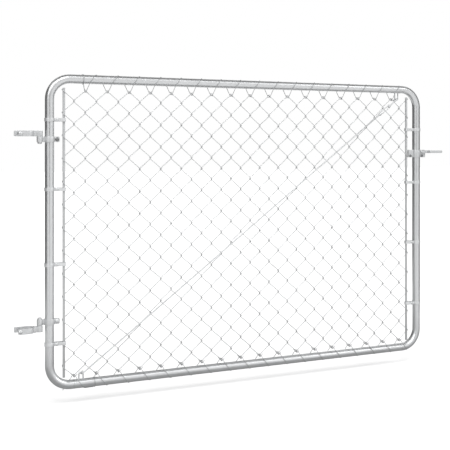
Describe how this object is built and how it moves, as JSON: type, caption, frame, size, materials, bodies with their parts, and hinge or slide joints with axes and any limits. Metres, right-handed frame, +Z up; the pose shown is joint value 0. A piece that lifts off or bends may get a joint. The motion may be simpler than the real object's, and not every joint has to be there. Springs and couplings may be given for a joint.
{
  "type": "chain link gate",
  "caption": "Galvanised tube-frame walk gate with woven wire fabric laced to its rails, tension bars and bands, a diagonal truss rod with turnbuckle, pin hinges and a fork latch.",
  "frame": {"origin": "on the hinge post's axis, at mid height of the lower post strap", "axes": "+Z up along the hinge post, +X from the hinge post to the latch side along the closed gate, +Y away from the side that the picture shows"},
  "size_m": [1.8735, 0.072, 1.1762],
  "materials": {
    "frame_tube": "galvanised tube, dull",
    "fabric_wire": "galvanised wire, satin",
    "bolts": "zinc plated, dull",
    "truss_parts": "galvanised rod and malleable iron",
    "tension_strip": "galvanised strip",
    "cast_fittings": "hot-dip galvanised fittings"
  },
  "bodies": {
    "post_hinges": {"lower_post_strap": "cast_fittings", "lower_post_bolt": "bolts", "lower_pintle": "cast_fittings", "upper_post_strap": "cast_fittings", "upper_post_bolt": "bolts", "upper_pintle": "cast_fittings"},
    "gate_leaf": {"hinge_side_frame": "frame_tube", "latch_side_frame": "frame_tube", "top_rail": "frame_tube", "bottom_rail": "frame_tube", "lower_hinge_band": "cast_fittings", "lower_hinge_bolt": "bolts", "upper_hinge_band": "cast_fittings", "upper_hinge_bolt": "bolts", "left_tension_bar": "tension_strip", "right_tension_bar": "tension_strip", "left_tension_band_1": "tension_strip", "left_tension_band_2": "tension_strip", "left_tension_band_3": "tension_strip", "left_tension_band_4": "tension_strip", "right_tension_band_1": "tension_strip", "right_tension_band_2": "tension_strip", "right_tension_band_3": "tension_strip", "right_tension_band_4": "tension_strip", "left_band_bolts": "bolts", "right_band_bolts": "bolts", "fabric_wires_1": "fabric_wire", "fabric_wires_2": "fabric_wire", "fabric_wires_3": "fabric_wire", "fabric_wires_4": "fabric_wire", "top_lacing_wire": "fabric_wire", "bottom_lacing_wire": "fabric_wire", "lower_truss_eye": "truss_parts", "upper_truss_eye": "truss_parts", "truss_rod": "truss_parts", "turnbuckle": "truss_parts", "turnbuckle_hook": "truss_parts", "latch_clamp": "cast_fittings", "latch_bolts": "bolts", "latch_pivot_pin": "bolts"},
    "fork": {"latch_fork": "cast_fittings"}
  },
  "joints": [
    {"name": "gate_swing", "type": "hinge", "parent": "post_hinges", "child": "gate_leaf", "pos_m": [0.0441, 0, 0.0249], "axis": [0, 0, 1], "range_deg": [-95, 95]},
    {"name": "fork_lift", "type": "hinge", "parent": "gate_leaf", "child": "fork", "pos_m": [1.74035, 0, 0.6459], "axis": [0, -1, 0], "range_deg": [0, 88]}
  ]
}
